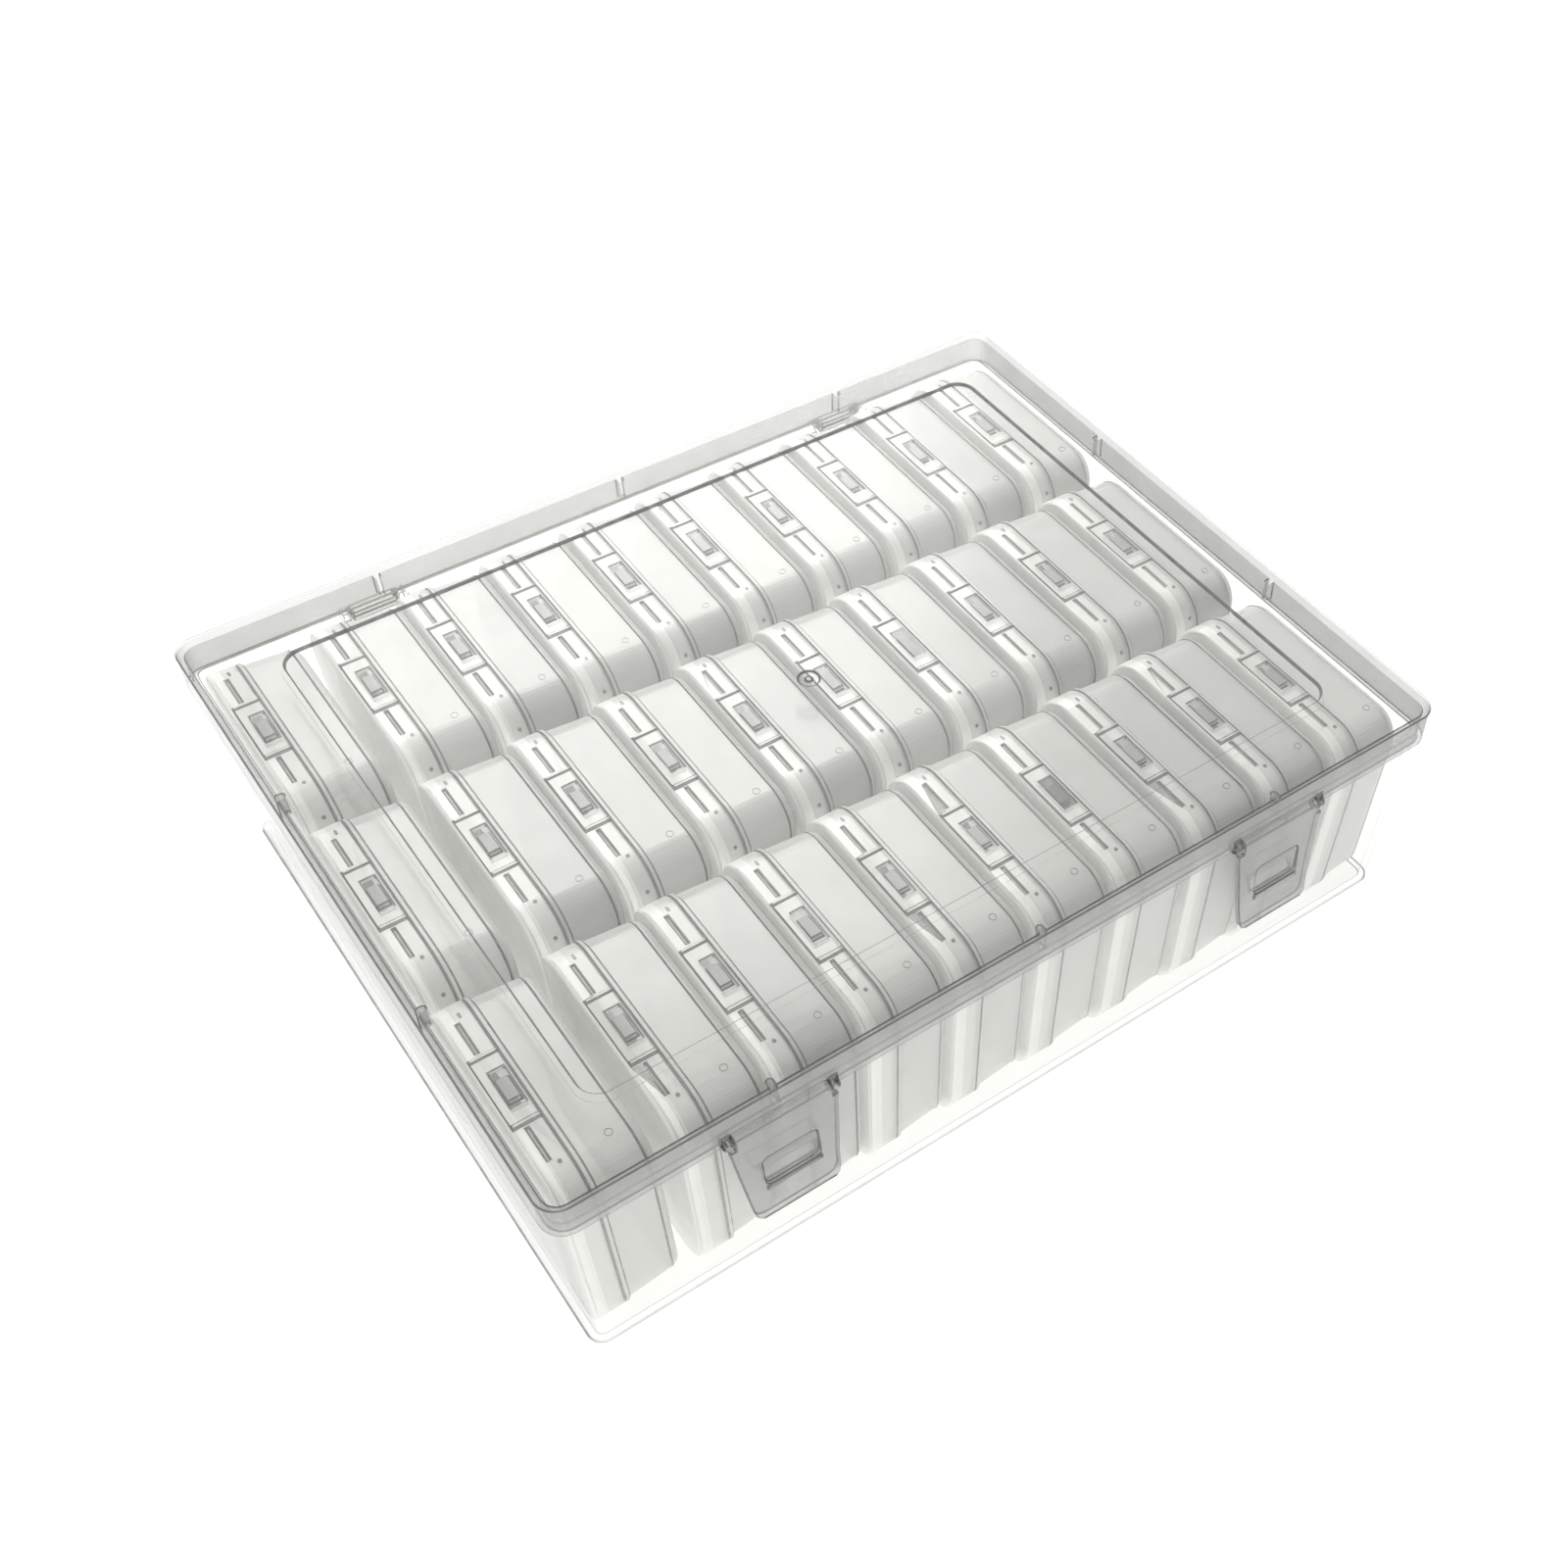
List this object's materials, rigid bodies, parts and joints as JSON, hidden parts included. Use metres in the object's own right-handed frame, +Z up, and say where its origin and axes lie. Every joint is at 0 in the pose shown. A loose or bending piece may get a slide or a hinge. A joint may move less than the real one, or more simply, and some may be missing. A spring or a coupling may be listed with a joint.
{
  "type": "embroidery thread box",
  "caption": "Clear hinged storage case with two flap latches, filled with rows of clear flip-lid boxes on edge for embroidery thread, beads or drills.",
  "frame": {"origin": "centre of the base's footprint, on its underside", "axes": "+X along the latch side, +Y from the latch side towards the hinges, +Z up"},
  "size_m": [0.2386, 0.1952, 0.065],
  "materials": {
    "case_plastic": "clear moulded plastic",
    "latch_plastic": "clear moulded plastic, slightly frosted",
    "tray_plastic": "clear moulded plastic",
    "small_lid_plastic": "clear moulded plastic"
  },
  "bodies": {
    "base": {"case_base": "case_plastic", "box_tray_front_01": "tray_plastic", "box_tray_front_02": "tray_plastic", "box_tray_front_03": "tray_plastic", "box_tray_front_04": "tray_plastic", "box_tray_front_05": "tray_plastic", "box_tray_front_06": "tray_plastic", "box_tray_front_07": "tray_plastic", "box_tray_front_08": "tray_plastic", "box_tray_front_09": "tray_plastic", "box_tray_front_10": "tray_plastic", "box_tray_middle_01": "tray_plastic", "box_tray_middle_02": "tray_plastic", "box_tray_middle_03": "tray_plastic", "box_tray_middle_04": "tray_plastic", "box_tray_middle_05": "tray_plastic", "box_tray_middle_06": "tray_plastic", "box_tray_middle_07": "tray_plastic", "box_tray_middle_08": "tray_plastic", "box_tray_middle_09": "tray_plastic", "box_tray_middle_10": "tray_plastic", "box_tray_back_01": "tray_plastic", "box_tray_back_02": "tray_plastic", "box_tray_back_03": "tray_plastic", "box_tray_back_04": "tray_plastic", "box_tray_back_05": "tray_plastic", "box_tray_back_06": "tray_plastic", "box_tray_back_07": "tray_plastic", "box_tray_back_08": "tray_plastic", "box_tray_back_09": "tray_plastic", "box_tray_back_10": "tray_plastic", "box_lids_column_01": "small_lid_plastic", "box_lids_column_02": "small_lid_plastic", "box_lids_column_03": "small_lid_plastic", "box_lids_column_04": "small_lid_plastic", "box_lids_column_05": "small_lid_plastic", "box_lids_column_06": "small_lid_plastic", "box_lids_column_07": "small_lid_plastic", "box_lids_column_08": "small_lid_plastic", "box_lids_column_09": "small_lid_plastic", "box_lids_column_10": "small_lid_plastic"},
    "lid": {"case_lid": "case_plastic"},
    "left_latch": {"latch_left": "latch_plastic"},
    "right_latch": {"latch_right": "latch_plastic"}
  },
  "joints": [
    {"name": "lid_hinge", "type": "hinge", "parent": "base", "child": "lid", "pos_m": [0, 0.0942, 0.052], "axis": [-1, 0, 0], "range_deg": [0, 180]},
    {"name": "left_latch_pivot", "type": "hinge", "parent": "lid", "child": "left_latch", "pos_m": [-0.068, -0.0934, 0.0559], "axis": [-1, 0, 0], "range_deg": [0, 100]},
    {"name": "right_latch_pivot", "type": "hinge", "parent": "lid", "child": "right_latch", "pos_m": [0.068, -0.0934, 0.0559], "axis": [-1, 0, 0], "range_deg": [0, 100]}
  ]
}
